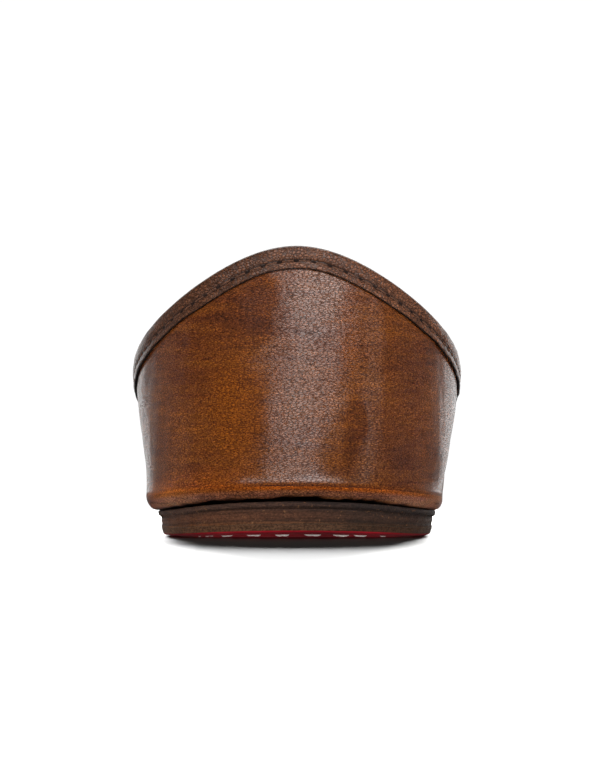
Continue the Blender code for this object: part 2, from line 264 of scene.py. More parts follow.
def sole_top(y):
    """Height of the midsole's upper face, on which the upper is lasted."""
    along = y + LENGTH / 2
    thinning = smooth_step((along - THINNING_FROM) / (THINNING_TO - THINNING_FROM))
    thickness = HEEL_THICKNESS + (FOREFOOT_THICKNESS - HEEL_THICKNESS) * thinning
    wedge = HEEL_WEDGE * np.clip(1 - along / HEEL_WEDGE_LENGTH, 0, 1) ** 2
    return sole_bottom(y) + thickness + wedge


def outline(u):
    """Plan points of the upper's outline and the outward directions there."""
    step = 1e-5
    plan = RING.at(u)[..., :2]
    along = RING.at(u + step)[..., :2] - RING.at(u - step)[..., :2]
    out = np.stack([along[..., 0], -along[..., 1]], axis=-1)
    out /= np.linalg.norm(out, axis=-1, keepdims=True)
    return np.stack([plan[..., 1], plan[..., 0] - LENGTH / 2], axis=-1), out


def inset_ring(u, inset, height):
    """A ring inside the outline, at the height that a function of y gives."""
    plan, out = outline(u)
    plan = plan - out * np.reshape(inset, (-1, 1))
    return np.column_stack([plan, height(plan[:, 1])])


def upper_face(u, v):
    """The upper's outer face. u runs round the shoe. v runs up it: -2 to -1 is the lasting margin under
    the foot, -1 to 0 the roll at the sole's edge, and 0 to 1 the wall up to the collar."""
    plan, out = outline(u)
    row = dict(zip(RIB_COLUMNS, np.moveaxis(RING.at(u), -1, 0)))
    margin = np.clip(-1 - v, 0, 1) * MARGIN
    foot = plan - out * (ROLL_OUT + margin)[..., None]
    turn = np.clip(v + 1, 0, 1) * math.pi / 2
    low = np.concatenate(
        [
            foot + out * (ROLL_OUT * np.sin(turn))[..., None],
            (sole_top(foot[..., 1]) + GAP + ROLL_UP * (1 - np.cos(turn)))[..., None],
        ],
        axis=-1,
    )
    t = np.clip(v, 0, 1)[..., None]
    flat_out = np.concatenate([out, np.zeros_like(out[..., :1])], axis=-1)
    up = np.array([0.0, 0.0, 1.0])
    collar = np.stack([row["top_half"], row["top_along"] - LENGTH / 2, row["top_height"]], axis=-1)
    from_foot = low + flat_out * row["lean"][..., None] + up * row["rise"][..., None]
    to_collar = collar + flat_out * row["reach"][..., None] - up * row["fall"][..., None]
    wall = (1 - t) ** 3 * low + 3 * t * (1 - t) ** 2 * from_foot
    wall = wall + 3 * t**2 * (1 - t) * to_collar + t**3 * collar
    above_roll = (wall - low)[..., 2]
    behind = np.clip(-out[..., 1], 0, 1)
    depth = GROOVE * (GROOVE_AT_SIDES + (1 - GROOVE_AT_SIDES) * behind)
    from_middle = above_roll - GROOVE_HEIGHT
    flare = 1 - (from_middle / GROOVE_HEIGHT) ** 2
    fade = np.exp(-((from_middle / GROOVE_FADE) ** 2))
    hollow = depth * np.where(from_middle < 0, flare, fade)
    return wall - flat_out * hollow[..., None]


def upper_normal(u, v):
    """Outward normals of the upper's outer face."""
    step_u, step_v = 1e-4, 1e-3
    low, high = np.maximum(v - step_v, -2), np.minimum(v + step_v, 1)
    round_shoe = upper_face(u + step_u, v) - upper_face(u - step_u, v)
    up_wall = upper_face(u, high) - upper_face(u, low)
    normal = np.cross(round_shoe, up_wall)
    return normal / np.linalg.norm(normal, axis=-1, keepdims=True)


def collar_run(u):
    """How the wall runs at the collar's edge for each unit of v, and how much of it is square to it."""
    top = np.ones_like(u)
    step_u, step_v = 1e-4, 1e-3
    run = (upper_face(u, top) - upper_face(u, top - step_v)) / step_v
    edge = upper_face(u + step_u, top) - upper_face(u - step_u, top)
    edge /= np.linalg.norm(edge, axis=-1, keepdims=True)
    return run, np.linalg.norm(np.cross(run, edge), axis=-1)


def below_collar(u, below):
    """v at a distance below the collar's edge, measured down the wall and square to the edge."""
    _, square = collar_run(u)
    return 1 - below / square


def collar_points(u, below, outside):
    """Points at distances below the collar's edge and outside the outer face."""
    below = np.broadcast_to(below, u.shape)
    v = below_collar(u, np.maximum(below, 0))
    run, square = collar_run(u)
    over = run * (np.maximum(-below, 0) / square)[:, None]
    return upper_face(u, v) + upper_normal(u, v) * np.reshape(outside, (-1, 1)) + over


# Meshes

# What the shoe's own lights and the floor's own lights shine on
SHOE_ONLY = bpy.data.collections.new("shoe_only")
FLOOR_ONLY = bpy.data.collections.new("floor_only")


class Ripples:
    """A smooth, repeatable unevenness in space, mostly between -1 and 1."""

    def __init__(self, seed, shortest, longest, count=20):
        draw = np.random.default_rng(seed)
        ways = draw.normal(size=(count, 3))
        ways /= np.linalg.norm(ways, axis=1, keepdims=True)
        self.waves = ways * (2 * math.pi / draw.uniform(shortest, longest, count))[:, None]
        self.phases = draw.uniform(0, 2 * math.pi, count)

    def at(self, points):
        return np.sin(points @ self.waves.T + self.phases).sum(axis=-1) / math.sqrt(len(self.phases))


BROAD = Ripples(seed=3, shortest=16 * MM, longest=34 * MM)
SMALL = Ripples(seed=5, shortest=4 * MM, longest=8 * MM)
EDGES = Ripples(seed=8, shortest=7 * MM, longest=26 * MM)
CUTS = Ripples(seed=13, shortest=1.4 * MM, longest=4 * MM)
TEARS = Ripples(seed=21, shortest=2.4 * MM, longest=7 * MM)


def even_ring(count, extra=()):
    """Places round the shoe, the same on both sides, with extra ones near places that need them."""
    u = np.arange(count) / count * RING.period
    extra = np.asarray(extra)
    return np.unique(np.concatenate([u, extra, RING.period - extra]))


def grid_faces(rows, count, closed):
    """Quads between neighbouring rings, and back to the first one where closed."""
    row = np.arange(rows if closed else rows - 1)[:, None]
    i = np.arange(count)
    j = (i + 1) % count
    here, there = row * count, (row + 1) % rows * count
    return np.stack([here + i, here + j, there + j, there + i], axis=-1).reshape(-1, 4).tolist()


def ladder(first, count):
    """Faces across a mirrored ring, from its right half to its left."""
    half = count // 2
    faces = [[first, first + 1, first + count - 1]]
    for i in range(1, half - 1):
        faces.append([first + i, first + i + 1, first + count - i - 1, first + count - i])
    return faces + [[first + half - 1, first + half, first + half + 1]]


def make_piece(name, points, faces, materials, face_slots=None, flow=None, rise=None):
    """A smooth mesh that rides on the shoe's only body. flow gives the leather's own directions, and
    rise the place up the upper, below 0 on its roll."""
    mesh = bpy.data.meshes.new(name)
    mesh.from_pydata(np.asarray(points).tolist(), [], faces)
    for material in materials:
        mesh.materials.append(material)
    if face_slots is not None:
        mesh.polygons.foreach_set("material_index", np.asarray(face_slots, dtype=np.int32))
    if flow is not None:
        attribute = mesh.attributes.new("flow", "FLOAT_VECTOR", "POINT")
        attribute.data.foreach_set("vector", np.asarray(flow, dtype=np.float32).ravel())
    if rise is not None:
        attribute = mesh.attributes.new("rise", "FLOAT", "POINT")
        attribute.data.foreach_set("value", np.asarray(rise, dtype=np.float32))
    mesh.shade_smooth()
    mesh.set_sharp_from_angle(angle=SHARP_ANGLE)
    piece = bpy.data.objects.new(name, mesh)
    bpy.context.scene.collection.objects.link(piece)
    SHOE_ONLY.objects.link(piece)
    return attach(piece, "root")


def make_shell(name, rings, flow_heights, leather, rise=None):
    """A closed shell from rings, the last of which joins the first."""
    points = np.concatenate(rings)
    flow = points.copy()
    flow[:, 2] = flow_heights
    faces = grid_faces(len(rings), len(rings[0]), closed=True)
    return make_piece(name, points, faces, [leather], flow=flow, rise=rise)


def make_plate(name, rings, materials, ring_slots, flow_heights):
    """A sole layer from rings that run from its top face, over its edge, to its underside.
    ring_slots gives the material of each band between two rings, and of the top and bottom at its ends."""
    count = len(rings[0])
    top = ladder(0, count)
    bottom = [face[::-1] for face in ladder((len(rings) - 1) * count, count)]
    sides = [face[::-1] for face in grid_faces(len(rings), count, closed=False)]
    slots = [ring_slots[0]] * len(top)
    for slot in ring_slots[1:-1]:
        slots += [slot] * count
    slots += [ring_slots[-1]] * len(bottom)
    points = np.concatenate(rings)
    flow = points.copy()
    flow[:, 2] = np.repeat(flow_heights, count)
    return make_piece(name, points, top + sides + bottom, materials, slots, flow)


# The upper


SEAM_U = float(np.interp(SEAM_ALONG * LENGTH, RING.rows[: len(RIBS), 0], RING.knots[: len(RIBS)]))
SEAM_NEAR = SEAM_U + np.array([-1.2, -0.6, -0.3, -0.15, 0.0, 0.12, 0.25, 0.4, 0.6, 0.9, 1.3, 1.8]) * MM


def seam_distance(u):
    """Distance in front of the side seam, round the shoe, negative behind it."""
    return np.minimum(u, RING.period - u) - SEAM_U


def vamp_folds(points):
    """Soft troughs across the vamp, with a low ridge beside each."""
    depth = np.zeros(points.shape[:-1])
    for row in FOLDS:
        fold = dict(zip(FOLD_COLUMNS, np.array(row) * MM))
        across = points[..., 0] / (BALL_WIDTH / 2)
        centre = fold["along"] - LENGTH / 2 - fold["bow"] * across**2
        offset = (points[..., 1] - centre) / fold["spread"]
        trough = np.exp(-(offset**2)) - RIDGE_SHARE * np.exp(-((offset - RIDGE_AHEAD) ** 2))
        depth += fold["depth"] * trough * smooth_step((points[..., 2] - FOLD_FROM) / FOLD_FADE)
    return depth


def upper_relief(u, v, points):
    """How far the leather stands off its plain form: dents, folds and the vamp's lap over the back."""
    dents = BROAD_DENT * BROAD.at(points) + SMALL_DENT * SMALL.at(points)
    ahead = seam_distance(u)
    lap = SEAM_LAP * smooth_step(ahead / SEAM_STEP) * np.exp(-np.maximum(ahead, 0) / SEAM_FADE)
    clear = smooth_step((below_collar(u, BINDING_WIDTH) - v) / RELIEF_FADE_TOP)
    clear = clear * smooth_step(v / RELIEF_FADE_FOOT + RELIEF_AT_FOOT)
    return (dents + lap - vamp_folds(points)) * clear


def roll_lift(u, v, points):
    """The roll's lower edge lies on the sole, and stands off it here and there at the back."""
    turn = np.clip(v + 1, 0, 1) * math.pi / 2
    _, out = outline(u)
    behind = np.clip(-out[..., 1], 0, 1) ** 2
    ragged = EDGE_LEVEL + EDGE_WAVE * EDGES.at(points) + EDGE_TEAR * TEARS.at(points)
    share = ROLL_LIFT * np.clip(ragged, EDGE_LEAST, EDGE_MOST) * behind - (GAP - PASTED)
    return share * (1 - np.sin(turn)) * (v >= -1)


def ring_grid(u, places, surface):
    """surface(u, v) at each place up the form, as a list of rings."""
    return [surface(u, np.broadcast_to(v, u.shape)) for v in places]


def make_upper(leather):
    u = even_ring(UPPER_AROUND, SEAM_NEAR)
    collar = below_collar(u, BINDING_WIDTH)
    roll = np.arange(ROLL_ROWS) / ROLL_ROWS - 1
    shares = np.concatenate(
        [np.linspace(0, FOOT_SHARE, FOOT_ROWS), np.linspace(FOOT_SHARE, 1, WALL_ROWS)[1:]]
    )
    outer_places = [-2.0, -1.5, *roll, *[share * collar for share in shares], 1.0]
    inner_places = [1.0, *[share * collar for share in shares[::-6]], -1.0, -2.0]

    def outside(u, v):
        face = upper_face(u, v)
        points = face + upper_normal(u, v) * upper_relief(u, v, face)[:, None]
        points[:, 2] += roll_lift(u, v, face)
        at_back = smooth_step((SHIFT_BEHIND - face[:, 1]) / SHIFT_FADE)
        points[:, 0] -= ROLL_SHIFT * smooth_step(1 - v / SHIFT_UP_TO) * at_back
        return points

    def inside(u, v):
        return upper_face(u, v) - upper_normal(u, v) * OUTER_LEATHER

    rings = ring_grid(u, outer_places, outside) + ring_grid(u, inner_places, inside)
    points = np.concatenate(rings)
    rise = np.concatenate([np.broadcast_to(v, u.shape) for v in outer_places + inner_places])
    at_heel = smooth_step((LEVEL_FLOW_TO - points[:, 1]) / LEVEL_FLOW_FADE)
    heights = points[:, 2] * at_heel + rise * FLOW_HEIGHT * (1 - at_heel)
    piece = make_shell("upper_leather", rings, heights, leather, rise)
    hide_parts("upper")


def make_lining(leather):
    u = even_ring(LINING_AROUND)
    near, far = OUTER_LEATHER + LINING_GAP, WALL

    def at_depth(depth):
        return lambda u, v: upper_face(u, v) - upper_normal(u, v) * depth

    seen = [-2.0, *np.linspace(-1, 1, LINING_ROWS)]
    hidden = [1.0, *np.linspace(1, -1, LINING_ROWS // 4)[1:], -2.0]
    rings = ring_grid(u, hidden[::-1], at_depth(near)) + ring_grid(u, seen[::-1], at_depth(far))
    heights = np.repeat(hidden[::-1] + seen[::-1], len(u)) * FLOW_HEIGHT
    piece = make_shell("upper_lining", rings, heights, leather)


# The collar binding


def binding_profile():
    """(below, outside) round the folded strip: up its outer leg, over the crown, down its inner leg and back
    along the upper. Each leg is thin at its edge."""
    near, far = BINDING_GAP, BINDING_GAP + BINDING_THICKNESS
    middle, half = -WALL / 2, WALL / 2 + far
    thin = BINDING_THIN
    leg = [(BINDING_WIDTH, near), (BINDING_WIDTH, far - thin), (BINDING_WIDTH - thin, far - thin / 4)]
    leg += [(below, far) for below in np.linspace(BINDING_WIDTH - 2 * thin, 0, LEG_ROWS)]
    crown = []
    for turn in np.linspace(0, math.pi, CROWN_ROWS)[1:-1]:
        crown.append((-BINDING_CROWN * math.sin(turn), middle + half * math.cos(turn)))
    inner_leg = [(below, -WALL - outside) for below, outside in leg[::-1]]
    return leg + crown + inner_leg + [(-BINDING_GAP, -WALL - near), (-BINDING_GAP, near)]


def collar_line(below, outside):
    """A closed line on the binding, with its outward normals."""
    u = np.arange(LINE_POINTS) / LINE_POINTS * RING.period
    return collar_points(u, below, outside), upper_normal(u, below_collar(u, below))


def make_binding(leather):
    u = even_ring(BINDING_AROUND)
    line = collar_points(u, 0.0, 0.0)
    steps = np.linalg.norm(np.roll(line, -1, axis=0) - line, axis=1)
    travel = np.concatenate([[0.0], np.cumsum(steps)[:-1]])
    stitches = round(steps.sum() / BINDING_SEAM["pitch"])
    beat = np.cos(2 * math.pi * stitches * travel / steps.sum())
    pull = (PULL + PULL_BEAT * beat) * MM
    rings = []
    heights = []
    for below, outside in binding_profile():
        on_leg = math.exp(-(((below - BINDING_STITCH_BELOW) / PULL_SPREAD) ** 2))
        full = BINDING_PUFF * math.exp(-(((below - PUFF_BELOW) / PUFF_SPREAD) ** 2))
        side = 1 if outside > -WALL / 2 else -1
        showing = abs(outside + WALL / 2) > WALL / 2 + BINDING_GAP + HAIR
        sunk = outside + side * (full - pull * on_leg) * showing
        wander = BINDING_WANDER * EDGES.at(line) if below > BINDING_WIDTH / 2 else 0.0
        ring = collar_points(u, below + wander, sunk)
        normal = upper_normal(u, below_collar(u, max(below, 0)))
        if showing:
            ring = ring + normal * (BINDING_DENT * SMALL.at(ring) * side)[:, None]
        rings.append(ring)
        heights.append(below)
    piece = make_shell("binding_strip", rings, np.repeat(heights, len(u)), leather)
    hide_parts("collar_binding")


# Stitches


def stitch_places(line, normals, pitch, closed):
    """Interpolators along a line, and the distance between its stitch holes."""
    if closed:
        line = np.concatenate([line, line[:1]])
        normals = np.concatenate([normals, normals[:1]])
    travel = np.concatenate([[0.0], np.cumsum(np.linalg.norm(np.diff(line, axis=0), axis=1))])
    count = max(round(travel[-1] / pitch), 1)

    def at(where):
        point = np.stack([np.interp(where, travel, line[:, k]) for k in range(3)], axis=-1)
        normal = np.stack([np.interp(where, travel, normals[:, k]) for k in range(3)], axis=-1)
        return point, normal / np.linalg.norm(normal, axis=-1, keepdims=True)

    return at, count, travel[-1] / count


def thread_faces(stitches, rows, sides):
    """Quads of many capped tubes."""
    faces = []
    for k in range(stitches):
        first = k * rows * sides
        for row in range(rows - 1):
            for i in range(sides):
                j = (i + 1) % sides
                here, there = first + row * sides, first + (row + 1) * sides
                faces.append([here + i, here + j, there + j, there + i])
        faces.append(list(range(first + sides - 1, first - 1, -1)))
        faces.append(list(range(first + (rows - 1) * sides, first + rows * sides)))
    return faces


def make_stitches(name, line, normals, seam, material, slot, closed=True, strands=1, uneven=0.0):
    """Threads that come out of one hole and go into the next. strands is how many twisted threads lie side
    by side, and uneven how much they differ in place and length."""
    at, count, gap = stitch_places(line, normals, seam["pitch"], closed)
    radius, rise = seam["radius"], seam["rise"]
    rows, sides = STITCH_ROWS, STITCH_SIDES
    share = np.linspace(-1, 1, rows)
    draw = np.random.default_rng(len(name))
    reach = 1 + uneven * draw.uniform(-UNEVEN_REACH, UNEVEN_REACH, (count, 1))
    shift = uneven * draw.uniform(-UNEVEN_SHIFT, UNEVEN_SHIFT, (count, 1)) * gap
    where = (np.arange(count)[:, None] + 0.5) * gap + shift + share * reach * gap * seam["cover"] / 2
    where, share = np.repeat(where, strands, axis=0), share[None, :]
    centre, normal = at(where)
    lift = (rise - (rise + seam["sink"]) * share**4) * np.ones((count * strands, 1))
    turn = 2 * math.pi * np.tile(np.arange(strands), count) / strands
    turn = turn + draw.uniform(0, 3, count).repeat(strands)
    turn = turn[:, None] + STRAND_TWIST * share
    loose = 1 + uneven * draw.uniform(-0.5, 1.0, (count * strands, 1))
    spread = radius * STRAND_SPREAD * (strands > 1) * loose
    ahead = np.gradient(centre, axis=1)
    across = np.cross(ahead, normal)
    across /= np.linalg.norm(across, axis=-1, keepdims=True)
    centre = centre + across * (spread * np.cos(turn))[..., None]
    centre = centre + normal * (lift + spread * np.sin(turn))[..., None]
    count *= strands
    ahead = np.gradient(centre, axis=1)
    ahead /= np.linalg.norm(ahead, axis=-1, keepdims=True)
    across = np.cross(ahead, normal)
    across /= np.linalg.norm(across, axis=-1, keepdims=True)
    over = np.cross(across, ahead)
    turn = np.arange(sides) / sides * 2 * math.pi
    circle = np.cos(turn)[:, None] * across[..., None, :] + np.sin(turn)[:, None] * over[..., None, :]
    points = (centre[..., None, :] + radius * circle).reshape(-1, 3)
    piece = make_piece(name, points, thread_faces(count, rows, sides), [material])


def make_hole_shade(name, line, normals, pitch, material):
    """Painted shade at the stitch holes: small dark flat closed lenses that lie in the leather."""
    at, count, gap = stitch_places(line, normals, pitch, True)
    centre, normal = at(np.arange(count) * gap)
    ahead = at(np.arange(count) * gap + 0.1 * MM)[0] - centre
    ahead /= np.linalg.norm(ahead, axis=-1, keepdims=True)
    across = np.cross(normal, ahead)
    turn = np.arange(HOLE_SIDES) / HOLE_SIDES * 2 * math.pi
    points = []
    for size, lift in HOLE_BANDS:
        ring = size * HOLE_LENGTH / 2 * np.cos(turn)[:, None] * ahead[:, None, :]
        ring = ring + size * HOLE_WIDTH / 2 * np.sin(turn)[:, None] * across[:, None, :]
        points.append(centre[:, None, :] + ring + normal[:, None, :] * lift * MM)
    points = np.stack(points, axis=1).reshape(-1, 3)
    piece = make_piece(name, points, thread_faces(count, len(HOLE_BANDS), HOLE_SIDES), [material])


# Soles


def underside(y, inset):
    """Height of the outsole's lower face, with its curled rim and the channel that holds the thread."""
    rim = OUTSOLE_FLAT_INSET - OUTSOLE_ROUND_INSET
    curl = EDGE_CURL * np.clip((OUTSOLE_FLAT_INSET - inset) / rim, 0, 1)
    channel = SOLE_CHANNEL * math.exp(-(((inset - SOLE_STITCH_INSET) / CHANNEL_SPREAD) ** 2))
    return sole_bottom(y) + curl + channel


def make_outsole(edge, red):
    u = even_ring(SOLE_AROUND)
    at_edge = inset_ring(u, 0.0, np.zeros_like)
    thickness = OUTSOLE_THICKNESS + GAP - PASTED

    def top(y):
        return sole_bottom(y) + thickness

    def side(share):
        """Height up the outsole's edge, from the start of its rounding to its top."""
        low = EDGE_CURL + EDGE_ROUND
        return lambda y: sole_bottom(y) + low + (thickness - low) * share

    rings = [inset_ring(u, OUTSOLE_TOP_INSET + PLATE_RIM, top)]
    heights = [1.0]
    slots = [0, 0]
    for share in np.linspace(1, 0, OUTSOLE_ROWS):
        rough = OUTSOLE_ROUGH * CUTS.at(at_edge + [0, 0, share * 2 * MM])
        inset = OUTSOLE_TOP_INSET + (OUTSOLE_SIDE_INSET - OUTSOLE_TOP_INSET) * (1 - share)
        rings.append(inset_ring(u, inset + rough, side(share)))
        heights.append(share)
        slots.append(0)
    for turn in np.linspace(0, math.pi / 2, 5)[1:]:
        inset = OUTSOLE_SIDE_INSET + (OUTSOLE_ROUND_INSET - OUTSOLE_SIDE_INSET) * (1 - math.cos(turn))
        lift = EDGE_CURL + EDGE_ROUND * (1 - math.sin(turn))
        rings.append(inset_ring(u, inset, lambda y, lift=lift: sole_bottom(y) + lift))
        heights.append(-1.0)
        slots.append(1)
    for inset in UNDERSIDE_INSETS:
        rings.append(inset_ring(u, inset, lambda y, inset=inset: underside(y, inset)))
        heights.append(-1.0)
        slots.append(1)
    piece = make_plate("outsole_leather", rings, [edge, red], slots, heights)
    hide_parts("outsole")


def make_midsole(layers):
    u = even_ring(SOLE_AROUND)
    at_edge = inset_ring(u, 0.0, np.zeros_like)

    def foot(y):
        return sole_bottom(y) + OUTSOLE_THICKNESS + GAP

    def side(share):
        return lambda y: foot(y) + (sole_top(y) - foot(y)) * share

    def edge_inset(drop):
        """How far the edge lies inside the outline, by the distance below the midsole's top."""
        step = smooth_step((drop - MIDSOLE_LIP_FACE) / (MIDSOLE_LIP_HEIGHT - MIDSOLE_LIP_FACE))
        return MIDSOLE_LIP_INSET + (MIDSOLE_SIDE_INSET - MIDSOLE_LIP_INSET) * step

    rings = [inset_ring(u, MIDSOLE_LIP_INSET + PLATE_RIM, sole_top)]
    heights = [1.0]
    top_edge = inset_ring(u, MIDSOLE_LIP_INSET, sole_top)
    thickness = top_edge[:, 2] - foot(top_edge[:, 1])
    for share in np.linspace(1, 0, MIDSOLE_ROWS):
        spread = (MIDSOLE_FOOT_INSET - MIDSOLE_SIDE_INSET) * (1 - share)
        layer = LAYER_DEPTH * math.cos(2 * math.pi * share * LAYERS)
        rough = MIDSOLE_ROUGH * CUTS.at(at_edge * [0.6, 0.6, 1] + [0, 0, share * 6 * MM])
        rounded = RIM_ROUND * math.exp(-(1 - share) / RIM_ROUND_SHARE)
        inset = edge_inset((1 - share) * thickness) + spread + layer + rough + rounded
        rings.append(inset_ring(u, inset, side(share)))
        heights.append(share)
    rings.append(inset_ring(u, MIDSOLE_FOOT_INSET + PLATE_RIM, foot))
    heights.append(0.0)
    slots = [0] * (len(rings) + 1)
    piece = make_plate("midsole_layers", rings, [layers], slots, heights)
    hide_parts("midsole")


def make_insole(leather):
    u = even_ring(SOLE_AROUND)

    def bottom(y):
        return sole_top(y) + GAP + WALL + GAP

    def above(lift):
        return lambda y: bottom(y) + lift

    rings = []
    for inset in (8 * MM, 4 * MM, 1.5 * MM, INSOLE_ROUND):
        rings.append(inset_ring(u, INSOLE_INSET + inset, above(INSOLE_THICKNESS)))
    for turn in np.linspace(0, math.pi / 2, 4):
        lift = INSOLE_THICKNESS - INSOLE_ROUND * (1 - math.cos(turn))
        rings.append(inset_ring(u, INSOLE_INSET + INSOLE_ROUND * (1 - math.sin(turn)), above(lift)))
    rings.append(inset_ring(u, INSOLE_INSET, bottom))
    rings.append(inset_ring(u, INSOLE_INSET + PLATE_RIM, bottom))
    slots = [0] * (len(rings) + 1)
    piece = make_plate("insole_sock", rings, [leather], slots, [1.0] * len(rings))
    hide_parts("insole")


# Materials


def srgb(red, green, blue):
    """A linear colour from screen values of 0 to 255."""
    shares = (red / 255, green / 255, blue / 255)
    return tuple(((share + 0.055) / 1.055) ** 2.4 if share > 0.04 else share / 12.92 for share in shares)


def node(tree, kind, inputs=None, **settings):
    """A shader node, with its settings and inputs. An input is a value or another node's output."""
    made = tree.nodes.new("ShaderNode" + kind)
    for key, value in settings.items():
        setattr(made, key, value)
    for key, value in (inputs or {}).items():
        if isinstance(value, bpy.types.NodeSocket):
            tree.links.new(value, made.inputs[key])
        else:
            made.inputs[key].default_value = value
    return made


# How the cells of a leather's grain sway: features per metre, and reach
SWAYS = ((900.0, 0.22 * MM), (110.0, 3.5 * MM))

# The ragged edge of a patch: features per metre, and reach
RAGGED_SCALE, RAGGED_REACH = 140.0, 9 * MM
PATCH_REACH = 40 * MM  # along the shoe

# Patches of the heel's leather: darker ones are painted shade, where the wall beside its highlights mirrors
# the dark room, brighter orange ones are painted light where it shows no reflection, and others have lost
# their gloss: place and half size in mm, and strength
PATCH_COLUMNS = ("across", "height", "half_width", "half_height", "strength")
PAINTED_SHADE_PATCHES = (
    (-11.0, 53.0, 11.0, 9.0, 0.42),
    (13.5, 22.0, 4.5, 15.0, 0.55),
    (26.0, 40.0, 9.0, 12.0, 0.40),
    (24.0, 18.0, 10.0, 9.0, 0.35),
)
PAINTED_LIGHT_PATCHES = (
    (-14.0, 27.0, 13.0, 24.0, 0.7),
    (-5.0, 57.0, 5.0, 4.0, 0.40),
    (12.5, 42.0, 2.5, 16.0, 0.45),
)
DULL_PATCHES = (
    (-13.5, 30.0, 9.5, 19.0, 0.75),
    (-10.0, 52.0, 9.5, 15.0, 0.80),
    (12.8, 24.0, 3.4, 13.0, 0.70),
)


class Shading:
    """A material with one Principled shader. Most methods add nodes and give back their output."""

    def __init__(self, name, colour, roughness, specular=0.5, coat=0.0, coat_roughness=0.03):
        self.material = bpy.data.materials.new(name)
        self.material.use_nodes = True
        self.tree = self.material.node_tree
        self.shader = self.tree.nodes["Principled BSDF"]
        self.shader.inputs["Base Color"].default_value = (*colour, 1.0)
        self.shader.inputs["Roughness"].default_value = roughness
        self.shader.inputs["Specular IOR Level"].default_value = specular
        self.shader.inputs["Coat Weight"].default_value = coat
        self.shader.inputs["Coat Roughness"].default_value = coat_roughness

    def feed(self, **sources):
        """Links each source to the shader's socket of that name, and gives back the finished material."""
        for name, source in sources.items():
            self.tree.links.new(source, self.shader.inputs[name.replace("_", " ").title()])
        return self.material

    def add(self, kind, inputs=None, **settings):
        return node(self.tree, kind, inputs, **settings).outputs

    def place(self):
        return self.add("TexCoord")["Object"]

    def flow(self):
        return self.add("Attribute", attribute_name="flow")["Vector"]

    def rise(self):
        return self.add("Attribute", attribute_name="rise")["Fac"]

    def axis(self, place, letter):
        return self.add("SeparateXYZ", {"Vector": place})[letter]

    def math(self, operation, first, second=0.0):
        return self.add("Math", {0: first, 1: second}, operation=operation)[0]

    def plus(self, first, second):
        return self.math("ADD", first, second)

    def times(self, first, *others):
        for other in others:
            first = self.math("MULTIPLY", first, other)
        return first

    def vector(self, operation, first, second):
        return self.add("VectorMath", {0: first, 1: second}, operation=operation)[0]

    def scaled(self, vector, size):
        return self.add("VectorMath", {0: vector, "Scale": size}, operation="SCALE")[0]

    def length(self, vector):
        return self.add("VectorMath", {0: vector}, operation="LENGTH")["Value"]

    def between(self, value, low, high):
        """0 at low and before it, 1 at high and beyond it. high may be the smaller one."""
        return self.add("MapRange", {"Value": value, "From Min": low, "From Max": high})["Result"]

    def band(self, value, start, full_from, full_to, end):
        """1 from full_from to full_to, fading to 0 at start and end."""
        return self.times(self.between(value, start, full_from), self.between(value, end, full_to))

    def ramp(self, share, stops):
        """A colour ramp through (place, linear colour) stops."""
        made = node(self.tree, "ValToRGB", {"Fac": share})
        elements = made.color_ramp.elements
        while len(elements) < len(stops):
            elements.new(1.0)
        for element, (place, colour) in zip(elements, stops):
            element.position = place
            element.color = (*colour, 1.0)
        return made.outputs["Color"]

    def grey_ramp(self, share, stops):
        return self.ramp(share, [(place, (grey,) * 3) for place, grey in stops])

    def mix(self, share, first, second, blend_type="MIX"):
        inputs = {0: share, 6: first, 7: second}
        for key in (6, 7):
            if isinstance(inputs[key], tuple):
                inputs[key] = (*inputs[key], 1.0)
        return self.add("Mix", inputs, data_type="RGBA", blend_type=blend_type)[2]

    def tint(self, colour, factors, share=1.0):
        """The colour, multiplied by another one where the share is 1."""
        return self.mix(share, colour, factors, "MULTIPLY")

    def noise(self, place, stretch, detail=4.0, roughness=0.55, distortion=0.0):
        """Noise with its own scale on each axis, in features per metre."""
        moved = self.add("Mapping", {"Vector": place, "Scale": stretch})[0]
        inputs = {"Vector": moved, "Scale": 1.0, "Detail": detail}
        inputs.update({"Roughness": roughness, "Distortion": distortion})
        return self.add("TexNoise", inputs)["Fac"]

    def speckle(self, share, amount):
        """Grey round 1, lighter where a noise is high and darker where it is low."""
        inputs = {"Value": share, "From Min": 0.25, "From Max": 0.75}
        inputs.update({"To Min": 1 - amount, "To Max": 1 + amount})
        return self.add("MapRange", inputs)["Result"]

    def cracks(self, place, stretch, width):
        """Fine crossing lines round small cells that sway over the leather, 0 in a line and 1 on a cell."""
        for scale, reach in SWAYS:
            bend = self.add("TexNoise", {"Vector": place, "Scale": scale, "Detail": 2.0})["Color"]
            place = self.vector("ADD", place, self.scaled(bend, reach))
        moved = self.add("Mapping", {"Vector": place, "Scale": stretch})[0]
        cells = self.add("TexVoronoi", {"Vector": moved, "Scale": 1.0}, feature="DISTANCE_TO_EDGE")
        return self.between(cells["Distance"], 0.0, width)

    def patches(self, place, rows):
        """The strength in the middle of each patch on the heel's back, and 0 beyond its ragged edge."""
        ragged = self.add("TexNoise", {"Vector": place, "Scale": RAGGED_SCALE, "Detail": 4.0})["Color"]
        ragged = self.vector("SUBTRACT", ragged, (0.5, 0.5, 0.5))
        bent = self.vector("ADD", place, self.scaled(ragged, RAGGED_REACH))
        total = 0.0
        for row in rows:
            patch = dict(zip(PATCH_COLUMNS, row))
            middle = (patch["across"] * MM, -LENGTH / 2, patch["height"] * MM)
            sizes = (1 / patch["half_width"] / MM, 1 / PATCH_REACH, 1 / patch["half_height"] / MM)
            away = self.length(self.vector("MULTIPLY", self.vector("SUBTRACT", bent, middle), sizes))
            inputs = {"Value": away, "From Min": 1.0, "From Max": 0.0, "To Max": patch["strength"]}
            share = self.add("MapRange", inputs, interpolation_type="SMOOTHSTEP")["Result"]
            total = self.plus(share, total)
        return total

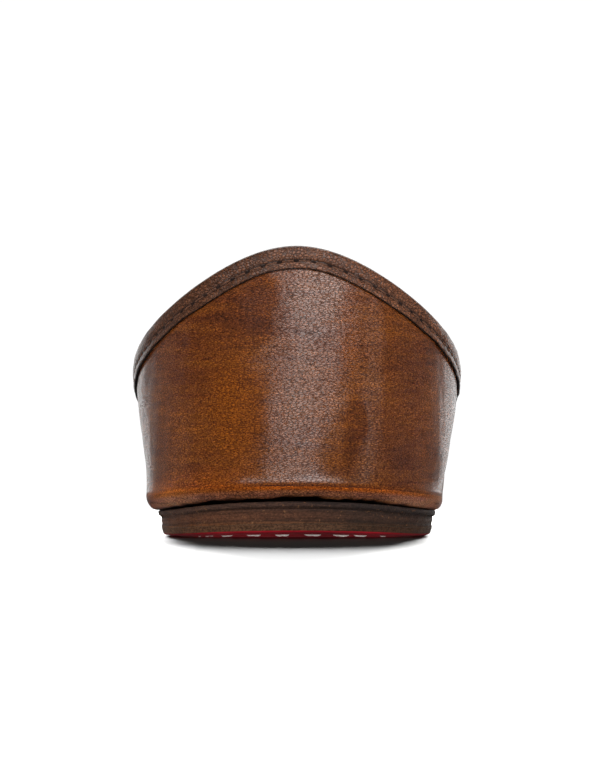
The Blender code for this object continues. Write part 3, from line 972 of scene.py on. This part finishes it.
    def bump(self, height, distance, below=None):
        """A normal that follows a height, on top of the normal below it."""
        inputs = {"Height": height, "Distance": distance}
        if below is not None:
            inputs["Normal"] = below
        return self.add("Bump", inputs)["Normal"]


STREAK_SHARE = 0.56  # of the leather's colour, the rest comes from broad clouds
STREAK_STOPS = (
    (0.36, srgb(60, 27, 9)),
    (0.46, srgb(75, 36, 10)),
    (0.54, srgb(81, 41, 10)),
    (0.64, srgb(94, 48, 8)),
)


def streaked_colour(leather, flow, place, streaks):
    """Brown with level streaks and clouds, patches of painted light and painted shade, and dark marks."""
    clouds = leather.noise(flow, (34, 34, 60))
    share = leather.plus(leather.times(streaks, STREAK_SHARE), leather.times(clouds, 1 - STREAK_SHARE))
    colour = leather.ramp(share, STREAK_STOPS)
    # Painted light: brighter, more orange patches beside the highlight, where the wall takes no reflection
    colour = leather.mix(leather.patches(place, PAINTED_LIGHT_PATCHES), colour, srgb(95, 47, 3))
    # Painted shade: darker patches where the wall beside its highlights mirrors the dark room
    colour = leather.mix(leather.patches(place, PAINTED_SHADE_PATCHES), colour, srgb(51, 21, 9))
    marks = leather.between(leather.noise(flow, (170, 170, 1500), detail=3), 0.57, 0.7)
    return leather.mix(leather.times(marks, 0.32), colour, srgb(38, 17, 10))


def roll_colour(leather, colour, rise, across, flow, streaks):
    """The colour of the roll, where rise is below 0, and of the wall's foot. The roll is warmer than the
    wall, and brighter as painted light for the little light that reaches it, and paler low down. Its ends
    are paler still, a painted reflection. The wall's foot is brighter at the left, a painted sheen. A
    painted lit line, orange, runs along the roll's top, with painted shade in the crease above it and dark
    rubbed lines below it."""
    on_roll = leather.between(rise, 0.012, 0.0)
    # Warmer than the wall, and brighter as painted light for the little light that reaches the roll
    colour = leather.tint(colour, (1.25, 1.15, 0.9), on_roll)
    colour = leather.tint(colour, (1.18, 1.6, 5.4), leather.between(rise, -0.14, -0.3))
    # Painted sheen: the wall's foot is brighter and greyer at the left
    foot = leather.band(rise, 0.12, 0.03, 0.0, -0.08)
    foot = leather.times(foot, leather.between(across, -7 * MM, -22 * MM))
    colour = leather.tint(colour, (1.65, 1.5, 1.2), foot)
    # Painted reflection: the roll is paler and greyer at both ends
    left_end = leather.between(across, -20 * MM, -30 * MM)
    right_end = leather.between(across, 17 * MM, 26 * MM)
    ends = leather.times(leather.math("MAXIMUM", left_end, right_end), on_roll)
    colour = leather.tint(colour, (1.3, 1.5, 1.9), ends)
    # Painted light: an orange line along the roll's lit top
    line = leather.band(rise, -0.04, -0.08, -0.13, -0.25)
    line = leather.times(line, leather.band(across, -17 * MM, -8 * MM, 16 * MM, 32 * MM), 0.6)
    colour = leather.mix(line, colour, srgb(128, 58, 8))
    rubbed = leather.between(leather.noise(flow, (110, 110, 2200), roughness=0.6), 0.5, 0.62)
    rubbed = leather.times(rubbed, leather.between(rise, -0.2, -0.38), 0.5)
    colour = leather.mix(rubbed, colour, srgb(34, 15, 9))
    # Painted shade: dark in the crease above the roll, over part of the heel
    crease_shade = leather.band(rise, 0.01, -0.006, -0.03, -0.07)
    crease_shade_reach = leather.times(leather.between(across, -17 * MM, -6 * MM), leather.between(streaks, 0.3, 0.55))
    return leather.mix(leather.times(crease_shade, crease_shade_reach, 0.75), colour, srgb(40, 18, 10))


def burnished_leather():
    """Brown streaked leather with a fine wrinkled grain, and painted shade under its roll. The grain's cells
    are polished on the wall and on the lip, but little in dull patches and on the vamp."""
    gloss = {"specular": 0.04, "coat": 0.6, "coat_roughness": 0.22}
    leather = Shading("burnished_leather", srgb(79, 40, 10), 0.5, **gloss)
    flow, place, rise = leather.flow(), leather.place(), leather.rise()
    across, along = leather.axis(place, "X"), leather.axis(place, "Y")
    streaks = leather.noise(flow, (72, 72, 680), detail=6, roughness=0.6)
    colour = streaked_colour(leather, flow, place, streaks)
    colour = roll_colour(leather, colour, rise, across, flow, streaks)
    lines = leather.cracks(place, (930, 930, 2850), 0.24)
    small = leather.cracks(place, (1900, 1900, 4300), 0.24)
    pores = leather.noise(place, (2600, 2600, 3600), detail=1.5, roughness=0.6)
    grain = leather.plus(leather.times(lines, 0.6), leather.times(small, 0.4))
    colour = leather.tint(colour, leather.grey_ramp(grain, ((0.0, 0.22), (1.0, 1.3))))
    colour = leather.tint(colour, leather.speckle(pores, 0.75))
    # Painted shade: near black low on the roll, in the gap under it
    unshaded = leather.between(rise, -0.92, -0.66)
    colour = leather.mix(unshaded, srgb(12, 7, 5), colour)
    on_lip = leather.band(rise, -0.24, -0.4, -0.45, -0.8)
    shine = leather.math("MAXIMUM", leather.between(rise, 0.007, 0.02), on_lip)
    dull = leather.times(leather.between(leather.patches(place, DULL_PATCHES), 0.05, 0.35), 0.85)
    satin = leather.times(leather.between(along, -50 * MM, 20 * MM), 0.7)
    kept = leather.math("SUBTRACT", 1.0, leather.math("MAXIMUM", dull, satin))
    small_polish = leather.plus(leather.times(small, 0.4), 0.6)
    line_polish = leather.plus(leather.times(lines, 0.95), 0.05)
    polish = leather.times(leather.times(small_polish, line_polish), leather.times(shine, kept))
    wrinkles = leather.bump(leather.noise(flow, (240, 240, 800), detail=3, distortion=0.4), 0.008 * MM)
    polished = leather.bump(grain, 0.008 * MM, below=wrinkles)
    normal = leather.bump(grain, 0.04 * MM, below=wrinkles)
    normal = leather.bump(pores, 0.02 * MM, below=normal)
    return leather.feed(base_color=colour, coat_weight=polish, coat_normal=polished, normal=normal)


def pebbled_leather():
    """Darker leather of the binding, with a grain of small cells. It is darker at the left of the heel,
    painted shade beside its lit middle, and has painted shadow lines along its stitches and at its lower
    edge."""
    leather = Shading("pebbled_leather", srgb(86, 53, 35), 0.3, specular=0.18)
    place = leather.place()
    below = leather.axis(leather.flow(), "Z")
    cells = leather.cracks(place, (1150, 1150, 1500), 0.3)
    pores = leather.noise(place, (2600, 2600, 3200), detail=2, roughness=0.6)
    stops = ((0.3, srgb(75, 45, 29)), (0.5, srgb(86, 53, 35)), (0.7, srgb(96, 61, 42)))
    colour = leather.ramp(leather.noise(place, (160, 160, 160)), stops)
    colour = leather.tint(colour, leather.grey_ramp(cells, ((0.0, 0.25), (1.0, 1.0))))
    colour = leather.tint(colour, leather.speckle(pores, 0.7))
    # Painted shade: darker at the left of the heel, lit in the middle
    lit = leather.between(leather.axis(place, "X"), -11 * MM, 2 * MM)
    colour = leather.tint(colour, leather.mix(lit, (0.66, 0.65, 0.64), (1.0, 0.97, 0.95)))
    # Painted shadow: a dark line along the stitches, under the upper strip's edge
    stitch_shadow = leather.band(below, *[BINDING_STITCH_BELOW + offset * MM for offset in (-0.7, -0.3, 0.15, 0.4)])
    colour = leather.mix(leather.times(stitch_shadow, 0.85), colour, srgb(28, 16, 11))
    # Painted shadow: a dark line at the strip's lower edge
    edge_shadow = leather.between(below, BINDING_WIDTH - 0.2 * MM, BINDING_WIDTH - 0.1 * MM)
    colour = leather.mix(edge_shadow, colour, srgb(14, 8, 6))
    normal = leather.bump(pores, 0.04 * MM, below=leather.bump(cells, 0.08 * MM))
    return leather.feed(base_color=colour, normal=normal)


def worn_side(leather, place):
    """0 at the left of the heel, where the sole's edge is worn lighter, and 1 at its right."""
    drift = leather.math("SUBTRACT", leather.noise(place, (45, 45, 45), detail=3), 0.5)
    across = leather.plus(leather.axis(place, "X"), leather.times(drift, 34 * MM))
    return leather.between(across, -14 * MM, 14 * MM)


def stacked_leather():
    """The midsole's cut edge: a dark rim on top, partly dark dye and partly painted shade under the upper's
    roll, streaked brown layers and a light line at its foot.
    """
    leather = Shading("stacked_leather", srgb(84, 54, 38), 0.6, specular=0.1)
    flow, place = leather.flow(), leather.place()
    wander = leather.math("SUBTRACT", leather.noise(flow, (90, 90, 5), detail=5, roughness=0.65), 0.5)
    level = leather.plus(leather.axis(flow, "Z"), leather.times(wander, 0.3))
    # The top stops: a dark rim, partly dye and partly painted shade under the upper's roll
    stops = (
        (0.00, srgb(86, 60, 42)),
        (0.06, srgb(114, 71, 43)),
        (0.13, srgb(68, 42, 28)),
        (0.35, srgb(92, 57, 38)),
        (0.60, srgb(78, 49, 34)),
        (0.72, srgb(66, 45, 35)),
        (0.90, srgb(72, 50, 40)),
        (1.00, srgb(48, 33, 27)),
    )
    colour = leather.ramp(level, stops)
    dull = leather.mix(worn_side(leather, place), (1.0, 1.0, 1.0), srgb(168, 186, 208))
    colour = leather.tint(colour, dull)
    cuts = leather.noise(flow, (110, 110, 20), detail=6, roughness=0.72)
    colour = leather.tint(colour, leather.grey_ramp(cuts, ((0.34, 0.36), (0.5, 0.77), (0.6, 0.92))))
    crumbs = leather.noise(place, (1700, 1700, 2600), detail=2, roughness=0.6)
    colour = leather.tint(colour, leather.grey_ramp(crumbs, ((0.37, 0.52), (0.58, 1.0))))
    specks = leather.between(leather.noise(place, (1300, 1300, 1500), detail=3, roughness=0.6), 0.62, 0.7)
    colour = leather.mix(leather.times(specks, 0.4), colour, srgb(136, 94, 60))
    splits = leather.noise(flow, (420, 420, 40), detail=6, roughness=0.75)
    normal = leather.bump(crumbs, 0.06 * MM, below=leather.bump(splits, 0.22 * MM))
    return leather.feed(base_color=colour, normal=normal)


def sole_edge_leather():
    """The outsole's own edge, a dull olive brown."""
    leather = Shading("sole_edge_leather", srgb(94, 63, 42), 0.6, specular=0.1)
    flow, place = leather.flow(), leather.place()
    stops = ((0.3, srgb(60, 40, 27)), (0.55, srgb(85, 57, 38)), (0.75, srgb(105, 72, 50)))
    colour = leather.ramp(leather.noise(flow, (260, 260, 3), detail=6, roughness=0.7), stops)
    dull = leather.mix(worn_side(leather, place), (1.0, 1.0, 1.0), srgb(186, 190, 196))
    colour = leather.tint(colour, dull)
    crumbs = leather.noise(place, (1900, 1900, 2300), detail=2, roughness=0.6)
    colour = leather.tint(colour, leather.grey_ramp(crumbs, ((0.40, 0.4), (0.58, 1.0))))
    splits = leather.noise(flow, (400, 400, 8))
    normal = leather.bump(crumbs, 0.06 * MM, below=leather.bump(splits, 0.12 * MM))
    return leather.feed(base_color=colour, normal=normal)


def red_leather():
    """The dyed underside, a little scuffed, and dirty away from its middle."""
    leather = Shading("red_leather", srgb(134, 14, 26), 0.75, specular=0.1)
    place = leather.place()
    wear = leather.noise(place, (45, 45, 45), detail=6, roughness=0.65)
    stops = ((0.30, srgb(108, 8, 20)), (0.55, srgb(138, 13, 27)), (0.78, srgb(158, 32, 40)))
    colour = leather.ramp(wear, stops)
    ends = leather.between(leather.math("ABSOLUTE", leather.axis(place, "X")), 19 * MM, 29 * MM)
    dirt = leather.times(ends, leather.between(wear, 0.25, 0.5), 0.6)
    colour = leather.mix(dirt, colour, srgb(52, 16, 17))
    normal = leather.bump(leather.noise(place, (900, 900, 900), detail=3), 0.08 * MM)
    return leather.feed(base_color=colour, normal=normal)


def lining_leather(name, light, dark):
    """Undyed leather of the lining and the footbed."""
    leather = Shading(name, light, 0.55)
    place = leather.place()
    colour = leather.ramp(leather.noise(place, (40, 40, 40), detail=5), ((0.3, dark), (0.65, light)))
    normal = leather.bump(leather.noise(place, (1100, 1100, 1100), detail=3), 0.07 * MM)
    return leather.feed(base_color=colour, normal=normal)


def thread(name, light, dark, twist):
    """Twisted thread, with its fibres in features per metre."""
    shading = Shading(name, light, 0.65, specular=0.15)
    fibres = shading.noise(shading.place(), (twist, twist, twist), detail=3)
    colour = shading.ramp(fibres, ((0.3, dark), (0.65, light)))
    return shading.feed(base_color=colour, normal=shading.bump(fibres, 0.1 * MM))


# Painted shade for the stitch holes
def hole_shade():
    shading = Shading("hole_shade", srgb(20, 11, 8), 0.9, specular=0.1)
    shades = shading.noise(shading.place(), (900, 900, 900))
    return shading.feed(base_color=shading.ramp(shades, ((0.3, srgb(12, 7, 5)), (0.7, srgb(26, 15, 11)))))


# The whole shoe


def make_binding_stitches(material, dark):
    """One row through the binding, seen on its outer and its inner leg, with painted shade at its holes on
    the outer one.
    """
    outside = BINDING_GAP + BINDING_THICKNESS - STITCH_BED
    legs = (("binding_stitches", outside, 1), ("binding_stitches_inside", -WALL - outside, -1))
    for name, leg, side in legs:
        line, normals = collar_line(BINDING_STITCH_BELOW, leg)
        make_stitches(name, line, normals * side, BINDING_SEAM, material, "binding_leather")
    line, normals = collar_line(BINDING_STITCH_BELOW, outside)
    make_hole_shade("binding_hole_shade", line, normals, BINDING_SEAM["pitch"], dark)


def make_sole_stitches(material):
    """A row of long stitches round the underside, in its channel and off the floor."""
    u = np.arange(LINE_POINTS) / LINE_POINTS * RING.period
    line = inset_ring(u, SOLE_STITCH_INSET, lambda y: underside(y, SOLE_STITCH_INSET))
    lowest = 3 * SOLE_SEAM["radius"] + SOLE_THREAD_CLEAR
    line[:, 2] = np.maximum(line[:, 2] - SOLE_THREAD_OUT, lowest)
    down = np.broadcast_to([0.0, 0.0, -1.0], line.shape)
    loose = {"strands": SOLE_STRANDS, "uneven": SOLE_UNEVEN}
    make_stitches("sole_stitches", line, down, SOLE_SEAM, material, "outsole_leather", **loose)


def make_seam_stitches(material):
    """A row beside each side seam, from the sole to the binding."""
    start = np.array([SEAM_U + SEAM_STITCH_IN])
    top = below_collar(start, BINDING_WIDTH + SEAM_STITCH_STOP)[0]
    v = np.linspace(SEAM_STITCH_FROM, top, 200)
    for name, where in (("seam_stitches_right", start[0]), ("seam_stitches_left", RING.period - start[0])):
        u = np.full_like(v, where)
        face = upper_face(u, v)
        normals = upper_normal(u, v)
        line = face + normals * upper_relief(u, v, face)[:, None]
        make_stitches(name, line, normals, SIDE_SEAM, material, "upper_leather", closed=False)


def make_shoe():
    brown_thread = thread("brown_thread", srgb(78, 49, 33), srgb(46, 28, 19), 2400)
    white_thread = thread("white_thread", srgb(248, 242, 236), srgb(214, 200, 190), 1600)
    tan = lining_leather("lining_leather", srgb(150, 104, 66), srgb(126, 84, 52))
    sock = lining_leather("sock_leather", srgb(142, 92, 54), srgb(112, 70, 40))
    make_upper(burnished_leather())
    make_lining(tan)
    make_binding(pebbled_leather())
    make_outsole(sole_edge_leather(), red_leather())
    make_midsole(stacked_leather())
    make_insole(sock)
    make_binding_stitches(brown_thread, hole_shade())
    make_sole_stitches(white_thread)
    make_seam_stitches(brown_thread)


# Floor, light and camera

FLOOR_SHARE = 0.3  # of the light that the floor sends back, so that the shoe hardly lights its own shadow
FLOOR_HALF = 6.0
FLOOR_DROP = 0.05 * MM
GLOW_FROM, GLOW_TO = 0.3, 0.7  # how far from the shoe's middle the floor begins to glow, and glows fully
DIM_FROM, DIM_TO, DIM_SHARE = -20 * MM, 60 * MM, 0.75  # along the shoe, and the share held back there
WHITE_LIGHT = 1.05
DARK_ROOM = 0.003
LOW_LIGHT = 3300 / FLOOR_SHARE
HIGH_LIGHT = 91 / FLOOR_SHARE

# Softboxes: bearing in degrees to the right of the camera's side, height angle, distance from the heel,
# width, height, tilt and brightness, and whether each one lights the shoe or the floor. Those for the floor,
# apart from a weak one, stand beyond the toe and leave the shadow behind the heel.
SOFTBOX_COLUMNS = ("bearing", "climb", "distance", "width", "height", "tilt", "bright", "lights")
SOFTBOXES = {
    "left_low_light": (-171, 5, 1.6, 0.20, 0.17, 0, LOW_LIGHT, "floor"),
    "right_low_light": (171, 5, 1.6, 0.20, 0.17, 0, LOW_LIGHT, "floor"),
    "left_high_light": (-170, 33, 1.6, 0.14, 0.87, 0, HIGH_LIGHT, "floor"),
    "right_high_light": (170, 33, 1.6, 0.14, 0.87, 0, HIGH_LIGHT, "floor"),
    "front_floor_light": (0, 40, 1.3, 0.5, 0.5, 0, 1.4, "floor"),
    "top_light": (170, 55, 1.4, 1.2, 1.0, 0, 2.4, "shoe"),
    "rim_light": (177, 17, 1.3, 1.7, 1.0, 0, 1.35, "shoe"),
    "wide_rim_light": (178, 17, 1.3, 2.8, 1.0, 0, 0.45, "shoe"),
    "left_panel": (-112, 8, 1.3, 1.2, 1.5, 0, 0.34, "shoe"),
    "right_panel": (104, 8, 1.3, 1.5, 1.5, 0, 0.28, "shoe"),
    "front_light": (6.5, 8, 1.3, 0.56, 1.05, -46, 5.4, "shoe"),
    "upper_front_light": (2, 30, 1.3, 1.8, 0.55, 0, 8.6, "shoe"),
    "side_strip": (53, 5, 1.3, 0.3, 1.2, 0, 1.8, "shoe"),
    "left_fill": (-50, 60, 1.3, 1.0, 0.8, 0, 0.45, "shoe"),
    "right_fill": (50, 60, 1.3, 1.0, 0.8, 0, 0.8, "shoe"),
}
HEEL_AIM = (0.0, -0.12, 0.03)

# The light that a pale table would send up, from under the floor
TABLE_GLOW = 0.3
TABLE_WIDTH, TABLE_LENGTH = 0.7, 0.9
TABLE_PLACE = (0.0, -0.1, -0.25)


def make_floor():
    """White near the shoe, where it takes the shadow, and glowing white farther off. It is clear from below,
    gloss doesn't mirror it, and it sends less light up to the front of the shoe."""
    white = Shading("white_floor", (FLOOR_SHARE,) * 3, 0.9, specular=0.0)
    place = white.place()
    across, along = white.axis(place, "X"), white.axis(place, "Y")
    away = white.length(white.add("CombineXYZ", {"X": across, "Y": along})[0])
    far = white.between(away, GLOW_FROM, GLOW_TO)
    glow = white.add("Emission", {"Color": (1.0, 1.0, 1.0, 1.0), "Strength": WHITE_LIGHT})[0]
    surface = white.add("MixShader", {0: far, 1: white.shader.outputs[0], 2: glow})[0]
    rays = white.add("LightPath")
    dim = white.times(white.between(along, DIM_FROM, DIM_TO), DIM_SHARE)
    unseen = white.math("MAXIMUM", rays["Is Glossy Ray"], white.times(rays["Is Diffuse Ray"], dim))
    unlit = white.add("Emission", {"Strength": 0.0})[0]
    surface = white.add("MixShader", {0: unseen, 1: surface, 2: unlit})[0]
    from_below = white.add("NewGeometry")["Backfacing"]
    clear = white.add("BsdfTransparent")[0]
    surface = white.add("MixShader", {0: from_below, 1: surface, 2: clear})[0]
    white.tree.links.new(surface, white.tree.nodes["Material Output"].inputs["Surface"])
    mesh = bpy.data.meshes.new("floor")
    corners = [(x * FLOOR_HALF, y * FLOOR_HALF, 0.0) for x, y in ((-1, -1), (1, -1), (1, 1), (-1, 1))]
    mesh.from_pydata(corners, [], [(0, 1, 2, 3)])
    mesh.materials.append(white.material)
    floor = bpy.data.objects.new("floor", mesh)
    floor.location.z = -FLOOR_DROP
    bpy.context.scene.collection.objects.link(floor)
    FLOOR_ONLY.objects.link(floor)


def make_world():
    """A dark room. The camera sees plain white."""
    world = bpy.data.worlds.new("studio")
    bpy.context.scene.world = world
    world.use_nodes = True
    tree = world.node_tree
    tree.nodes.clear()
    shades = []
    for strength in (DARK_ROOM, WHITE_LIGHT):
        inputs = {"Color": (1.0, 1.0, 1.0, 1.0), "Strength": strength}
        shades.append(node(tree, "Background", inputs).outputs[0])
    seen = node(tree, "LightPath").outputs["Is Camera Ray"]
    mixed = node(tree, "MixShader", {0: seen, 1: shades[0], 2: shades[1]}).outputs[0]
    tree.links.new(mixed, node(tree, "OutputWorld").inputs["Surface"])


def make_area_light(name, width, height, bright, lights):
    """A softbox of even brightness."""
    data = bpy.data.lights.new(name, "AREA")
    data.shape = "RECTANGLE"
    data.size, data.size_y = width, height
    data.energy = bright * width * height * math.pi
    light = bpy.data.objects.new(name, data)
    bpy.context.scene.collection.objects.link(light)
    light.light_linking.receiver_collection = {"shoe": SHOE_ONLY, "floor": FLOOR_ONLY}[lights]
    light.light_linking.blocker_collection = SHOE_ONLY
    return light


def make_lights():
    for name, row in SOFTBOXES.items():
        box = dict(zip(SOFTBOX_COLUMNS, row))
        bearing, climb = math.radians(box["bearing"]), math.radians(box["climb"])
        level = math.cos(climb)
        way = Vector((math.sin(bearing) * level, -math.cos(bearing) * level, math.sin(climb)))
        light = make_area_light(name, box["width"], box["height"], box["bright"], box["lights"])
        light.location = Vector(HEEL_AIM) + way * box["distance"]
        turned = way.to_track_quat("Z", "Y") @ Quaternion((0.0, 0.0, 1.0), math.radians(box["tilt"]))
        light.rotation_euler = turned.to_euler()
    glow = make_area_light("table_glow", TABLE_WIDTH, TABLE_LENGTH, TABLE_GLOW, "shoe")
    glow.location = TABLE_PLACE
    glow.rotation_euler = (math.pi, 0.0, 0.0)


def make_camera():
    data = bpy.data.cameras.new("camera")
    data.sensor_width = SENSOR
    data.lens = SENSOR * FOCAL_PIXELS / FRAME_HEIGHT
    data.clip_start = 0.01
    camera = bpy.data.objects.new("camera", data)
    camera.location = (CAMERA_RIGHT, -LENGTH / 2 - CAMERA_BACK, CAMERA_HEIGHT)
    camera.rotation_euler = (math.pi / 2 + CAMERA_PITCH, 0.0, 0.0)
    bpy.context.scene.collection.objects.link(camera)
    bpy.context.scene.camera = camera


def main():
    make_shoe()
    make_floor()
    make_world()
    make_lights()
    make_camera()
    bpy.context.scene.view_settings.view_transform = "Standard"


main()
